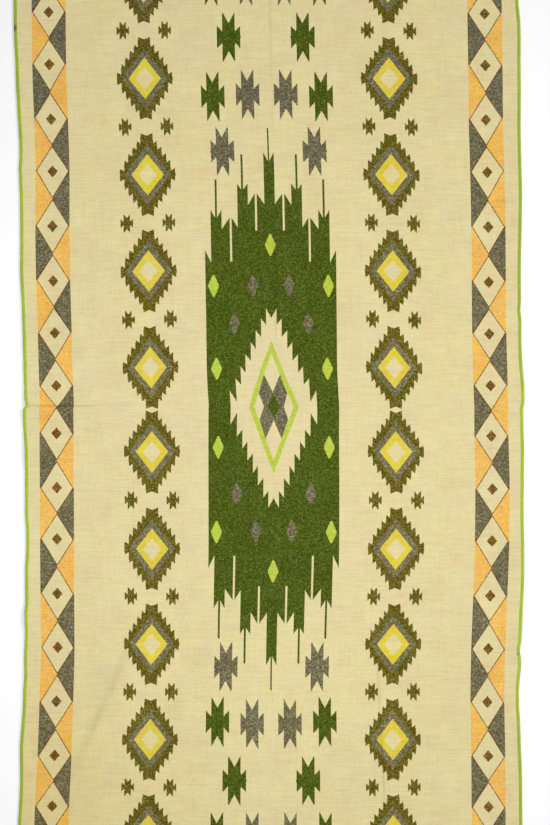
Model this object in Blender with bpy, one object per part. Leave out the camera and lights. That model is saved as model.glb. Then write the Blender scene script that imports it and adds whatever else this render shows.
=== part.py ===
"""A woven blanket laid out flat, face up: the cloth and the yarn edging sewn over its four edges.

Metres, +Z up. The blanket lies on the plane z = 0 with its length along Y, the head at +Y, and
its origin under the middle of its outline.
"""

from collections import namedtuple
from math import cos, hypot, pi, sin

import bmesh
import bpy
from mathutils import Vector

MM = 0.001

# Driving sizes
HALF_LENGTH = 1.166
CLOTH_THICKNESS = 0.0024
EDGING_WIDTH = 0.0082
EDGING_WALL = 0.0008
EDGING_LIP = 0.0012
SEWN_GAP = 0.00035

# Distances in from the outline: the cloth's cut edge, the inner side of the edging,
# and where the cloth is back down on the surface
CUT_EDGE = EDGING_LIP + SEWN_GAP
EDGING_INSIDE = EDGING_WIDTH + 0.0004
TOUCH_DOWN = 0.036

# How far the cloth is held up inside its edging
EDGE_RISE = EDGING_WALL + SEWN_GAP
EDGING_HEIGHT = 2 * (EDGING_WALL + SEWN_GAP) + CLOTH_THICKNESS

# The outline, head to foot, in millimetres: the two long sides wander, and step at the
# crosswise storage fold
Section = namedtuple("Section", "y left right")
SECTIONS = (
    Section(1166, -640.2, 623.5),
    Section(1022, -638.4, 624.9),
    Section(947, -637.7, 630.3),
    Section(872, -634.1, 630.4),
    Section(797, -631.3, 630.9),
    Section(722, -627.3, 630.4),
    Section(647, -623.6, 631.3),
    Section(535, -622.7, 634.0),
    Section(422, -621.7, 632.1),
    Section(347, -622.2, 631.0),
    Section(272, -618.5, 631.3),
    Section(197, -616.0, 632.4),
    Section(122, -614.1, 633.9),
    Section(47, -612.3, 639.8),
    Section(30, -611.5, 640.2),
    Section(12, -609.0, 638.9),
    Section(7, -609.2, 637.7),
    Section(3, -613.6, 636.4),
    Section(-2, -614.5, 636.1),
    Section(-16, -615.2, 637.0),
    Section(-56, -613.6, 637.8),
    Section(-103, -610.4, 638.9),
    Section(-178, -609.7, 638.7),
    Section(-253, -609.9, 637.8),
    Section(-316, -607.0, 639.2),
    Section(-353, -607.1, 639.5),
    Section(-403, -609.9, 639.7),
    Section(-478, -609.4, 637.1),
    Section(-516, -611.0, 634.7),
    Section(-553, -610.2, 632.9),
    Section(-628, -612.4, 631.3),
    Section(-666, -612.1, 629.2),
    Section(-703, -614.4, 626.3),
    Section(-741, -615.3, 626.5),
    Section(-778, -617.8, 628.9),
    Section(-853, -622.6, 631.3),
    Section(-928, -622.2, 634.0),
    Section(-1003, -625.2, 634.5),
    Section(-1166, -626.8, 636.6),
)

# Folds and wrinkles, in metres. Each runs from its start to its end and fades out at both.
# A ridge falls away over `left` and `right`, as seen walking along it. A valley's line stays on
# the surface, and the cloth rises over `left` and comes down over `right` on both sides of it.
Fold = namedtuple("Fold", "kind x0 y0 x1 y1 height left right")
CREASE_Y = 0.0085
CREASE_RISE = 0.008
CREASE_FALL = 0.040
SPINE_HEAD = 0.0027
SPINE_LEAN = 0.0189
SPINE_END = 0.600
SPINE_REACH = 0.080
SPINE_FALL = 0.006
FOLDS = (
    Fold("valley", -0.950, CREASE_Y, -0.100, CREASE_Y, 0.0024, CREASE_RISE, CREASE_FALL),
    Fold("ridge", 0.160, CREASE_Y, 1.000, CREASE_Y, 0.0026, 0.018, CREASE_FALL),
    Fold("ridge", 0.0002, 1.300, 0.0134, SPINE_END, 0.0014, SPINE_REACH, SPINE_FALL),
    Fold("ridge", -0.282, -0.476, -0.525, -1.014, 0.0076, 0.110, 0.025),
    Fold("ridge", -0.720, -0.522, -0.470, -0.515, 0.0035, 0.046, 0.046),
    Fold("ridge", 0.740, -0.545, 0.500, -0.535, 0.0035, 0.050, 0.050),
    Fold("ridge", 0.740, 0.085, 0.480, 0.100, 0.0030, 0.060, 0.060),
    Fold("ridge", -0.720, -0.110, -0.500, -0.100, 0.0025, 0.060, 0.060),
)

# Grid lines: spans as (start, end, steps). Columns are shares of the way between the
# touch-down lines of the two long sides; rows are heights in metres.
COLUMN_SPANS = (
    (0.000, 0.070, 2),
    (0.070, 0.260, 14),
    (0.260, 0.475, 5),
    (0.525, 0.980, 8),
)
SPINE_STEPS = (-0.024, -SPINE_FALL, 0.0, 0.020)
ROW_SPANS = (
    (-1.130, -1.020, 2),
    (-1.020, -0.440, 20),
    (-0.440, -0.075, 6),
    (0.075, 0.165, 2),
    (0.165, 1.130, 13),
)
CREASE_STEPS = (
    -CREASE_RISE - CREASE_FALL,
    -CREASE_RISE - 0.5 * CREASE_FALL,
    -CREASE_RISE,
    0.0,
    CREASE_RISE,
    CREASE_RISE + 0.5 * CREASE_FALL,
    CREASE_RISE + CREASE_FALL,
)


def secant(k, column):
    """Slope of a column between section k and the next one."""
    a, b = SECTIONS[k], SECTIONS[k + 1]
    return (getattr(b, column) - getattr(a, column)) / (b.y - a.y)


def tangent(k, column):
    """Slope of a column at section k: none at a turn, else between the slopes on both sides."""
    if k in (0, len(SECTIONS) - 1):
        return 0.0
    before, after = secant(k - 1, column), secant(k, column)
    if before * after <= 0.0:
        return 0.0
    return 2.0 * before * after / (before + after)


def outline(y, column):
    """A long side's distance from the centre line at height y, in metres."""
    h = max(min(y / MM, SECTIONS[0].y), SECTIONS[-1].y)
    k = max(i for i in range(len(SECTIONS) - 1) if SECTIONS[i].y >= h)
    a, b = SECTIONS[k], SECTIONS[k + 1]
    span = b.y - a.y
    t = (h - a.y) / span
    value = (
        getattr(a, column) * (1 + 2 * t) * (1 - t) ** 2
        + tangent(k, column) * span * t * (1 - t) ** 2
        + getattr(b, column) * t * t * (3 - 2 * t)
        - tangent(k + 1, column) * span * t * t * (1 - t)
    )
    return value * MM


def bell(w):
    """One at nought, falling smoothly to nought at one."""
    return cos(0.5 * pi * min(abs(w), 1.0)) ** 2


def fold_height(fold, x, y):
    """How high one fold lifts the cloth at a place."""
    along = Vector((fold.x1 - fold.x0, fold.y1 - fold.y0))
    there = Vector((x - fold.x0, y - fold.y0))
    share = there.dot(along) / along.length_squared
    if not 0.0 < share < 1.0:
        return 0.0
    side = along.cross(there) / along.length
    if fold.kind == "ridge":
        across = bell(side / (fold.left if side > 0.0 else fold.right))
    elif abs(side) < fold.left:
        across = sin(0.5 * pi * abs(side) / fold.left)
    else:
        across = bell((abs(side) - fold.left) / fold.right)
    return fold.height * sin(pi * share) * across


def folds_at(x, y):
    """The height of all folds, which inside the edging is level across its width."""
    end = HALF_LENGTH - EDGING_INSIDE
    y = max(min(y, end), -end)
    x = max(x, outline(y, "left") + EDGING_INSIDE)
    x = min(x, outline(y, "right") - EDGING_INSIDE)
    return sum(fold_height(fold, x, y) for fold in FOLDS)


def underside(x, y):
    """The height of the cloth's underside: its folds, and its rise into the edging."""
    inward = min(
        x - outline(y, "left"),
        outline(y, "right") - x,
        HALF_LENGTH - abs(y),
    )
    share = (inward - EDGING_INSIDE) / (TOUCH_DOWN - EDGING_INSIDE)
    rise = EDGE_RISE if share < 1e-6 else EDGE_RISE * (1.0 - min(share, 1.0))
    return folds_at(x, y) + rise


def spread(spans):
    """Every grid line of a table of spans, once each."""
    lines = set()
    for start, end, steps in spans:
        for i in range(steps + 1):
            lines.add(round(start + (end - start) * i / steps, 6))
    return lines


def row_heights():
    """The y of each grid row, foot to head, with the cut edge and both edging lines."""
    ends = [HALF_LENGTH - inset for inset in (CUT_EDGE, EDGING_INSIDE)]
    rows = spread(ROW_SPANS)
    rows |= {CREASE_Y + step for step in CREASE_STEPS}
    rows |= set(ends) | {-end for end in ends}
    return sorted(rows)


def column_places(y):
    """The x of each grid column at height y, left to right."""
    left, right = outline(y, "left"), outline(y, "right")
    low, high = left + TOUCH_DOWN, right - TOUCH_DOWN
    middle = [low + (high - low) * share for share in spread(COLUMN_SPANS) | {1.0}]
    spine = SPINE_HEAD + SPINE_LEAN * (HALF_LENGTH - max(y, SPINE_END))
    middle += [spine + step for step in SPINE_STEPS]
    edges = [left + CUT_EDGE, left + EDGING_INSIDE, right - EDGING_INSIDE, right - CUT_EDGE]
    return sorted(middle + edges)


def fabric(name, colour, roughness):
    """A matt woven material from an 8-bit colour."""
    material = bpy.data.materials.new(name)
    material.use_nodes = True
    shader = material.node_tree.nodes["Principled BSDF"]
    linear = [((c / 255 + 0.055) / 1.055) ** 2.4 for c in colour]
    shader.inputs["Base Color"].default_value = (*linear, 1.0)
    shader.inputs["Roughness"].default_value = roughness
    shader.inputs["Metallic"].default_value = 0.0
    material.diffuse_color = (*linear, 1.0)
    return material


def link(name, bm, material):
    """Puts a finished mesh into the scene as a named object."""
    bm.normal_update()
    mesh = bpy.data.meshes.new(name)
    bm.to_mesh(mesh)
    bm.free()
    mesh.shade_smooth()
    mesh.set_sharp_from_angle(angle=0.6)
    mesh.materials.append(material)
    piece = bpy.data.objects.new(name, mesh)
    bpy.context.scene.collection.objects.link(piece)
    return piece


def make_cloth(material):
    """The woven sheet: a grid laid on its underside, thickened upwards."""
    rows = row_heights()
    columns = [column_places(y) for y in rows]
    across, along = len(columns[0]) - 1, len(rows) - 1
    bm = bmesh.new()
    bmesh.ops.create_grid(bm, x_segments=across, y_segments=along, size=0.5)
    for vert in bm.verts:
        i = round((vert.co.x + 0.5) * across)
        j = round((vert.co.y + 0.5) * along)
        x, y = columns[j][i], rows[j]
        vert.co = (x, y, underside(x, y))
    piece = link("cloth", bm, material)
    solidify = piece.modifiers.new("thickness", "SOLIDIFY")
    solidify.thickness = CLOTH_THICKNESS
    solidify.offset = 1.0
    return piece


def edging_profile():
    """The edging's section as (inward, up) from the foot of the outline: a channel with a
    rounded back that takes the cloth's edge."""
    top = EDGING_HEIGHT
    width = EDGING_WIDTH
    lip = EDGING_LIP
    wall = EDGING_WALL
    return (
        (width, 0.0),
        (0.0022, 0.0),
        (0.0005, 0.0009),
        (0.0, 0.5 * top),
        (0.0005, top - 0.0009),
        (0.0022, top),
        (width - 0.0018, top),
        (width, top - 0.0004),
        (width, top - wall),
        (lip, top - wall),
        (lip, wall),
        (width, wall),
    )


def sweep(name, stations, material):
    """One edging strip: its section carried from station to station, each an
    (outer point, inward direction, lift)."""
    profile = edging_profile()
    rings = [
        [outer + inward * depth + Vector((0.0, 0.0, lift + up)) for depth, up in profile]
        for outer, inward, lift in stations
    ]
    bm = bmesh.new()
    loops = []
    for ring in rings:
        verts = [bm.verts.new(co) for co in ring]
        loops.append([bm.edges.new((verts[i - 1], verts[i])) for i in range(len(verts))])
    for before, after in zip(loops, loops[1:]):
        bmesh.ops.bridge_loops(bm, edges=before + after)
    for end in (loops[0], loops[-1]):
        bmesh.ops.edgeloop_fill(bm, edges=end)
    bmesh.ops.recalc_face_normals(bm, faces=bm.faces)
    return link(name, bm, material)


def side_stations(column, inward):
    """Stations of a long side's edging, foot to head."""
    rows = row_heights()
    rows[0], rows[-1] = -HALF_LENGTH, HALF_LENGTH
    stations = []
    for y in rows:
        x = outline(y, column)
        stations.append((Vector((x, y, 0.0)), inward, folds_at(x, y)))
    return stations


def end_stations(y, inward):
    """Stations of an end's edging, between the two long ones."""
    columns = column_places(y - CUT_EDGE if y > 0 else y + CUT_EDGE)[1:-1]
    return [(Vector((x, y, 0.0)), inward, folds_at(x, y)) for x in columns]


def main():
    """Clears the scene and builds the blanket."""
    for old in list(bpy.data.objects):
        bpy.data.objects.remove(old, do_unlink=True)
    wool = fabric("woven_cloth", (224, 210, 158), 0.95)
    yarn = fabric("edging_yarn", (163, 188, 66), 0.9)
    make_cloth(wool)
    right, left = Vector((1.0, 0.0, 0.0)), Vector((-1.0, 0.0, 0.0))
    up, down = Vector((0.0, 1.0, 0.0)), Vector((0.0, -1.0, 0.0))
    sweep("edging_left", side_stations("left", right), yarn)
    sweep("edging_right", side_stations("right", left), yarn)
    sweep("edging_head", end_stations(HALF_LENGTH, down), yarn)
    sweep("edging_foot", end_stations(-HALF_LENGTH, up), yarn)


main()
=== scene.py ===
"""A woven alpaca blanket laid out flat: its patterned cloth and the yarn edging overlocked round it.

Metres, +Z up, the head at +Y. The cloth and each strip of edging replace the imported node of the
same name. Figures of the pattern are charted in threads, counted from the middle of the blanket.
"""

import random
from collections import namedtuple
from functools import lru_cache
from math import cos, pi, sin

import bmesh
import bpy
from bpy.props import FloatProperty, FloatVectorProperty, PointerProperty
from bpy.types import Operator, Panel, PropertyGroup
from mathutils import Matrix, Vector


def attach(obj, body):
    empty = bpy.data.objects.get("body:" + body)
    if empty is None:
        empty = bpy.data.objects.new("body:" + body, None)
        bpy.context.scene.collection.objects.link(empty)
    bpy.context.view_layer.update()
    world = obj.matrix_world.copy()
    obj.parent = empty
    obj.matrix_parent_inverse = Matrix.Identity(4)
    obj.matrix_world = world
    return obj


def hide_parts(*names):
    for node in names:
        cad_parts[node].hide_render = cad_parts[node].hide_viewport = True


bl_info = {
    "name": "Woven blanket",
    "version": (1, 0, 0),
    "blender": (4, 5, 0),
    "location": "3D View > Sidebar > Blanket",
    "description": "Weaves a patterned blanket, sews its yarn edging and sets a plain stage",
    "category": "Object",
}

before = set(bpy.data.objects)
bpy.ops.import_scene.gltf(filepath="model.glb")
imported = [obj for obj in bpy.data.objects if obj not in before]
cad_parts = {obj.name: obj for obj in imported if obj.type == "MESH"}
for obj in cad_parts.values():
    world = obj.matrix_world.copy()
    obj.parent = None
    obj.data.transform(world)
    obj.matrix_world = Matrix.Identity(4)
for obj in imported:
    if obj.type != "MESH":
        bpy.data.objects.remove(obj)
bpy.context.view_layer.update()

MM = 0.001

# Distances in from the outline, and heights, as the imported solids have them
HALF_LENGTH = 1.166
EDGING_WIDTH = 0.0082
CUT_EDGE = 0.00155
EDGING_INSIDE = EDGING_WIDTH + 0.0004
TOUCH_DOWN = 0.036
EDGE_RISE = 0.00115
CLOTH_THICKNESS = 0.0024
EDGING_HEIGHT = CLOTH_THICKNESS + 2 * EDGE_RISE

# The outline, head to foot, in millimetres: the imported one, with a few small dents and bumps
Section = namedtuple("Section", "y left right")
SECTIONS = (
    Section(1166, -640.2, 623.5),
    Section(1022, -638.4, 624.9),
    Section(947, -637.7, 630.3),
    Section(872, -634.1, 630.4),
    Section(797, -631.3, 630.9),
    Section(722, -627.3, 630.4),
    Section(647, -623.6, 631.3),
    Section(622, -624.2, 631.9),
    Section(612, -624.7, 632.2),
    Section(603, -625.7, 632.5),
    Section(597, -625.7, 632.7),
    Section(590, -625.0, 632.9),
    Section(575, -624.5, 633.4),
    Section(552, -623.6, 633.9),
    Section(535, -622.7, 634.0),
    Section(422, -621.7, 632.1),
    Section(347, -622.2, 631.0),
    Section(272, -618.5, 631.3),
    Section(263, -618.2, 630.8),
    Section(256, -617.9, 630.2),
    Section(249, -617.6, 629.8),
    Section(241, -617.4, 630.2),
    Section(228, -616.9, 631.9),
    Section(214, -616.5, 632.6),
    Section(197, -616.0, 632.4),
    Section(122, -614.1, 633.9),
    Section(47, -612.3, 639.8),
    Section(30, -611.5, 640.2),
    Section(12, -609.0, 638.9),
    Section(7, -609.2, 637.7),
    Section(3, -613.6, 636.4),
    Section(-2, -614.5, 636.1),
    Section(-16, -615.2, 637.0),
    Section(-56, -613.6, 637.8),
    Section(-103, -610.4, 638.9),
    Section(-178, -609.7, 638.7),
    Section(-253, -609.9, 637.8),
    Section(-316, -607.0, 639.2),
    Section(-353, -607.1, 639.5),
    Section(-403, -609.9, 639.7),
    Section(-478, -609.4, 637.1),
    Section(-516, -611.0, 634.7),
    Section(-553, -610.2, 632.9),
    Section(-583, -611.0, 632.0),
    Section(-596, -611.5, 629.4),
    Section(-605, -611.9, 628.8),
    Section(-612, -612.1, 629.1),
    Section(-620, -612.3, 631.1),
    Section(-634, -612.4, 631.8),
    Section(-666, -612.1, 629.2),
    Section(-703, -614.4, 626.3),
    Section(-741, -615.3, 626.5),
    Section(-778, -617.8, 628.9),
    Section(-853, -622.6, 631.3),
    Section(-928, -622.2, 634.0),
    Section(-1003, -625.2, 634.5),
    Section(-1036, -627.4, 634.9),
    Section(-1166, -626.8, 636.6),
)

# Where the warp wanders, in millimetres: the middle of each border, and the pattern's axis
Course = namedtuple("Course", "y left axis right")
COURSES = (
    Course(1166, -551.1, -10.4, 539.1),
    Course(1023, -550.6, -9.6, 539.4),
    Course(873, -549.1, -7.4, 541.4),
    Course(723, -544.4, -3.9, 542.9),
    Course(593, -540.6, 0.4, 546.4),
    Course(458, -540.9, 3.1, 548.9),
    Course(321, -539.1, 5.4, 550.1),
    Course(191, -535.1, 6.6, 551.4),
    Course(108, -532.9, 7.1, 553.1),
    Course(48, -530.9, 9.9, 554.9),
    Course(12, -529.6, 12.6, 556.1),
    Course(2, -531.1, 12.9, 556.4),
    Course(-61, -530.6, 12.1, 556.6),
    Course(-194, -529.9, 12.1, 559.4),
    Course(-326, -529.4, 12.1, 558.4),
    Course(-464, -528.6, 9.4, 553.9),
    Course(-597, -527.6, 6.6, 548.9),
    Course(-729, -531.1, 5.4, 546.6),
    Course(-864, -535.6, 6.1, 548.9),
    Course(-991, -541.6, 6.9, 549.6),
    Course(-1166, -545.6, 6.4, 550.1),
)

# How far the picks have crept towards the head, in millimetres: along the lines of small
# diamonds and the axis, and along the two borders, which were beaten up unevenly
Creep = namedtuple("Creep", "y column axis")
CREEPS = (
    Creep(1166, -1.0, -1.0),
    Creep(932, -1.0, -1.1),
    Creep(786, -0.9, -0.8),
    Creep(648, -0.6, -2.7),
    Creep(412, -0.4, -3.2),
    Creep(252, -0.1, -3.4),
    Creep(105, 0.9, -7.0),
    Creep(7, 1.0, -8.0),
    Creep(-106, 1.1, -7.0),
    Creep(-246, 2.8, -3.3),
    Creep(-348, 4.0, -3.3),
    Creep(-588, 1.0, -1.0),
    Creep(-785, -1.5, 1.4),
    Creep(-929, -2.0, -0.4),
    Creep(-1166, -2.0, -1.0),
)
BorderCreep = namedtuple("BorderCreep", "y left right")
BORDER_CREEPS = (
    BorderCreep(1166, 4.0, 7.0),
    BorderCreep(994, 6.4, 10.5),
    BorderCreep(864, 3.4, 6.2),
    BorderCreep(726, 7.8, 9.6),
    BorderCreep(595, 4.9, 7.3),
    BorderCreep(458, 8.5, 10.5),
    BorderCreep(321, 12.6, 15.3),
    BorderCreep(191, 8.8, 11.9),
    BorderCreep(60, 7.7, 7.4),
    BorderCreep(9.6, -1.0, 4.7),
    BorderCreep(7.4, -7.0, 4.3),
    BorderCreep(-60, -6.4, 0.3),
    BorderCreep(-196, -4.2, -0.3),
    BorderCreep(-324, -9.0, -4.3),
    BorderCreep(-461, -5.7, -0.4),
    BorderCreep(-595, -4.8, -1.2),
    BorderCreep(-730, -2.7, -1.2),
    BorderCreep(-865, -0.8, 0.7),
    BorderCreep(-992, -7.5, -5.3),
    BorderCreep(-1166, -6.0, -4.0),
)
# How much further they have crept at the outer tips of the borders' rhombs
TipCreep = namedtuple("TipCreep", "y left right")
TIP_CREEPS = (
    TipCreep(1166, 0.0, -1.2),
    TipCreep(994, -0.5, -2.5),
    TipCreep(864, -0.8, 0.5),
    TipCreep(726, -5.0, -5.5),
    TipCreep(595, -2.2, -5.0),
    TipCreep(458, -2.0, -0.5),
    TipCreep(321, -4.0, -3.0),
    TipCreep(191, 0.0, -4.0),
    TipCreep(60, 0.8, -1.2),
    TipCreep(-60, -3.0, -0.8),
    TipCreep(-196, 0.8, 0.0),
    TipCreep(-461, -2.0, 1.8),
    TipCreep(-730, 1.8, 3.0),
    TipCreep(-1166, 0.0, 1.0),
)
# How far out from the axis, in metres, the lines of small diamonds and the borders' middles
# are, and how far the tips are from those. The creep grows on past a tip by a fifth.
COLUMN_OUT = 0.3045
BORDER_OUT = 0.543
TIP_OUT = 0.0425
PAST_TIP = 1.2

# Folds and wrinkles, in metres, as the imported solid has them: a ridge falls away over `left`
# and `right`, as seen walking along it, and a valley rises over `left` and comes down over
# `right` on both sides. The last two are finer creases that only this model has.
Fold = namedtuple("Fold", "kind x0 y0 x1 y1 height left right")
CREASE_Y = 0.0085
CREASE_RISE = 0.008
CREASE_FALL = 0.040
FOLDS = (
    Fold("valley", -0.950, CREASE_Y, -0.100, CREASE_Y, 0.0024, CREASE_RISE, CREASE_FALL),
    Fold("ridge", 0.160, CREASE_Y, 1.000, CREASE_Y, 0.0026, 0.018, CREASE_FALL),
    Fold("ridge", 0.0002, 1.300, 0.0134, 0.600, 0.0014, 0.080, 0.006),
    Fold("ridge", -0.282, -0.476, -0.525, -1.014, 0.0076, 0.110, 0.025),
    Fold("ridge", -0.720, -0.522, -0.470, -0.515, 0.0035, 0.046, 0.046),
    Fold("ridge", 0.740, -0.545, 0.500, -0.535, 0.0035, 0.050, 0.050),
    Fold("ridge", 0.740, 0.085, 0.480, 0.100, 0.0030, 0.060, 0.060),
    Fold("ridge", -0.720, -0.110, -0.500, -0.100, 0.0025, 0.060, 0.060),
    Fold("ridge", 0.0141, 0.560, 0.0223, 0.130, 0.0034, 0.060, 0.008),
    Fold("ridge", 0.2700, -0.560, 0.3002, -1.120, 0.0032, 0.060, 0.006),
)

# Lengthwise creases that columns of the cloth's mesh follow, from the foot to the head: the
# spine's, and a short one to its right. Columns stand at these steps from them, in millimetres,
# and clear of that by the margin. The blocks are the widths beside and between the creases.
Line = namedtuple("Line", "foot head")
LINES = (Line(0.0468, 0.0027), Line(0.3027, 0.1770))
LINE_STEPS = (-9.0, -6.0, -3.0, 0.0, 4.0, 8.0)
LINE_MARGIN = 5.0
BLOCKS = (0.58, 0.23, 0.36)

# The storage fold is pressed hard near the two sides and across the green: the pile is
# pinched in along it
Pinch = namedtuple("Pinch", "x0 x1 depth half_width")
PINCHES = (
    Pinch(-0.640, -0.430, 0.0018, 0.0015),
    Pinch(-0.170, -0.080, 0.0012, 0.0028),
    Pinch(0.105, 0.190, 0.0012, 0.0028),
    Pinch(0.490, 0.660, 0.0010, 0.0015),
)
CREASE_STEPS = (0.8, 1.8, 3.2, 5.0, 7.5, 10.5, 14.0, 18.0, 23.0, 29.0, 36.0, 44.0, 52.0)

# The pattern in threads of 1.25 mm. A tooth spans the columns from first to last, and its end
# slopes from `low` at the first to `high` at the last, counted from the figure's middle row.
Tooth = namedtuple("Tooth", "first last low high")
MEDALLION = (
    Tooth(0, 1, 562, 562),
    Tooth(2, 10, 495, 512),
    Tooth(11, 25, 408, 430),
    Tooth(26, 29, 356, 356),
    Tooth(30, 43, 430, 407),
    Tooth(44, 52, 450, 438),
    Tooth(53, 56, 509, 509),
    Tooth(57, 64, 438, 450),
    Tooth(65, 76, 362, 382),
    Tooth(77, 80, 294, 294),
    Tooth(81, 96, 382, 359),
    Tooth(97, 105, 398, 382),
    Tooth(106, 109, 459, 459),
    Tooth(110, 118, 382, 398),
    Tooth(119, 130, 292, 317),
)
MIDDLE = (
    Tooth(0, 10, 180, 199),
    Tooth(11, 20, 166, 179),
    Tooth(21, 31, 141, 155),
    Tooth(32, 41, 117, 131),
    Tooth(42, 52, 93, 106),
    Tooth(53, 62, 69, 82),
    Tooth(63, 73, 45, 58),
    Tooth(74, 86, 11, 34),
)
DIAMOND = (
    Tooth(0, 12, 78, 83),
    Tooth(13, 20, 62, 68),
    Tooth(21, 29, 50, 56),
    Tooth(30, 38, 37, 43),
    Tooth(39, 46, 24, 30),
    Tooth(47, 55, 8, 13),
)
CROSS = (Tooth(0, 12, 28, 51), Tooth(13, 23, 11, 23))
STAR = (Tooth(0, 6, 11, 19), Tooth(7, 12, 3, 9))
BOW_TIE = (Tooth(0, 16, 28, 65), Tooth(17, 28, 63, 27))
LOZENGE = (Tooth(0, 1, 22, 22), Tooth(2, 10, 22, 2))

# One cross, or one lozenge, of each kind in a quarter of the pattern
Spot = namedtuple("Spot", "colour across along")
CROSSES = (
    Spot("grey", 92.4, 515.0),
    Spot("green", 108.3, 625.0),
    Spot("grey", 38.3, 629.0),
    Spot("green", 73.6, 743.8),
    Spot("green", 108.3, 857.0),
    Spot("grey", 38.3, 857.0),
)
LOZENGES = (
    Spot("lime", 0.0, 326.4),
    Spot("lime", 114.6, 245.6),
    Spot("lime", 110.8, 78.6),
    Spot("grey", 36.0, 245.6),
    Spot("grey", 73.8, 170.0),
)

# The columns of small diamonds, with stars on both sides of their line
COLUMN_LINE = 243.6
DIAMOND_FIRST = 84.4
DIAMOND_PITCH = 192.4
STAR_OUT = 42.0
STAR_FIRST = 180.6
STAR_PITCH = 192.4

# The borders: their line and half width, the rhombs with the share of them that is inside the
# outline, the brown rim of the inner grey triangles, and how many triangles come before one
# has its neighbour's colour
BORDER_LINE = 434.4
BORDER_HALF = 34.0
RHOMB_ACROSS = 33.5
RHOMB_PITCH = 106.6
RHOMB_INSIDE = 0.935
RIM = 1.6
TRIANGLES = 4

# Rhombs inside one another, by their half diagonals
Ring = namedtuple("Ring", "colour across along")
BORDER_SPOT = Ring("brown", 10.6, 12.0)
DIAMOND_RINGS = (
    Ring("light_grey", 46.0, 60.5),
    Ring("yellow", 32.5, 41.5),
    Ring("cream", 18.4, 21.8),
)
MIDDLE_RINGS = (Ring("lime", 50.0, 133.6), Ring("cream", 39.4, 107.6))
HEART = Ring("green", 12.0, 25.0)

# How wide the bow tie is at its waist, and how much wider with each thread from there
WAIST = 20.0
WAIST_SLOPE = 0.326

# The back has green as far out as the first of these, grey from the second, and olive between
MIDDLE_ZONE = 165.0
SIDE_ZONE = 380.0

MATH = "ShaderNodeMath"
VECTOR_MATH = "ShaderNodeVectorMath"
MIX = "ShaderNodeMix"
NOISE = "ShaderNodeTexNoise"
SHADER = "ShaderNodeBsdfPrincipled"


def linear(code):
    """An sRGB hex colour as linear red, green and blue."""
    parts = [int(code[i:i + 2], 16) / 255 for i in (0, 2, 4)]
    return tuple(c / 12.92 if c <= 0.04045 else ((c + 0.055) / 1.055) ** 2.4 for c in parts)


def length(name, description, value):
    """A length that the panel shows in the scene's units."""
    return FloatProperty(
        name=name, description=description, default=value, min=0.0, precision=5,
        subtype="DISTANCE", unit="LENGTH")


def dye(name, description, code):
    """A yarn colour that the panel shows as a colour field."""
    return FloatVectorProperty(
        name=name, description=description, default=linear(code), size=3, min=0.0, max=1.0,
        subtype="COLOR")


class BlanketSizes(PropertyGroup):
    """Sizes of the cloth's threads and of the edging's stitches"""

    thread: length("Thread spacing", "Distance between threads, both ways", 0.00125)
    column_spacing: length("Column spacing", "Width of a cell of the cloth's mesh", 0.0086)
    row_spacing: length("Row spacing", "Length of a cell of the cloth's mesh", 0.0110)
    stitch_pitch: length("Stitch pitch", "Distance between stitches of the edging", 0.0022)
    yarn: length("Edging yarn", "Thickness of the yarn of the edging", 0.0019)
    needle_yarn: length("Needle yarn", "Thickness of the yarn that holds the stitches", 0.0007)


class BlanketColours(PropertyGroup):
    """Colours of the yarns, as they lie on the blanket's face"""

    cream: dye("Cream", "The ground", "DACC98")
    green: dye("Green", "The medallion and its crosses", "465500")
    grey: dye("Grey", "Heathered grey figures", "6B6446")
    light_grey: dye("Light grey", "The grey rings inside the diamonds", "716A47")
    olive: dye("Olive", "The serrated diamonds and stars", "615700")
    yellow: dye("Yellow", "The rings inside the diamonds", "D7C444")
    lime: dye("Lime", "The lozenges and the middle's outline", "B3C342")
    orange: dye("Orange", "Half of the border's triangles", "E8B559")
    brown: dye("Brown", "The spots in the border's rhombs", "715110")
    outline: dye("Outline brown", "The rhombs' outline beside the grey triangles", "6A4200")
    ochre: dye("Ochre", "The rhombs' outline beside the orange triangles", "7E5400")
    white: dye("White wool", "Hairs spun into the heathered yarns", "D7D2B0")
    edging: dye("Edging", "The yarn of the overlocked edging", "A2BC33")


def add(tree, kind, links=None, out=0, **settings):
    """Adds a node with its settings, joins or sets its inputs, and returns one of its outputs."""
    made = tree.nodes.new(kind)
    for name, value in settings.items():
        setattr(made, name, value)
    for key, value in (links or {}).items():
        if isinstance(value, bpy.types.NodeSocket):
            tree.links.new(value, made.inputs[key])
        else:
            made.inputs[key].default_value = value
    return made.outputs[out] if made.outputs else None


def blank(name):
    """A material with an empty node tree."""
    material = bpy.data.materials.new(name)
    material.use_nodes = True
    material.node_tree.nodes.clear()
    return material


# Reading the tables

@lru_cache(maxsize=None)
def reading(table, y, column):
    """A table's column at height y, in metres, on a smooth line that overshoots nowhere."""
    h = max(min(y / MM, table[0].y), table[-1].y)
    k = max(i for i in range(len(table) - 1) if table[i].y >= h)

    def slope(i):
        return ((getattr(table[i + 1], column) - getattr(table[i], column))
                / (table[i + 1].y - table[i].y))

    def tangent(i):
        if i in (0, len(table) - 1) or slope(i - 1) * slope(i) <= 0.0:
            return 0.0
        return 2.0 * slope(i - 1) * slope(i) / (slope(i - 1) + slope(i))

    span = table[k + 1].y - table[k].y
    t = (h - table[k].y) / span
    value = (
        getattr(table[k], column) * (1 + 2 * t) * (1 - t) ** 2
        + tangent(k) * span * t * (1 - t) ** 2
        + getattr(table[k + 1], column) * t * t * (3 - 2 * t)
        - tangent(k + 1) * span * t * t * (1 - t))
    return value * MM


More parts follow.
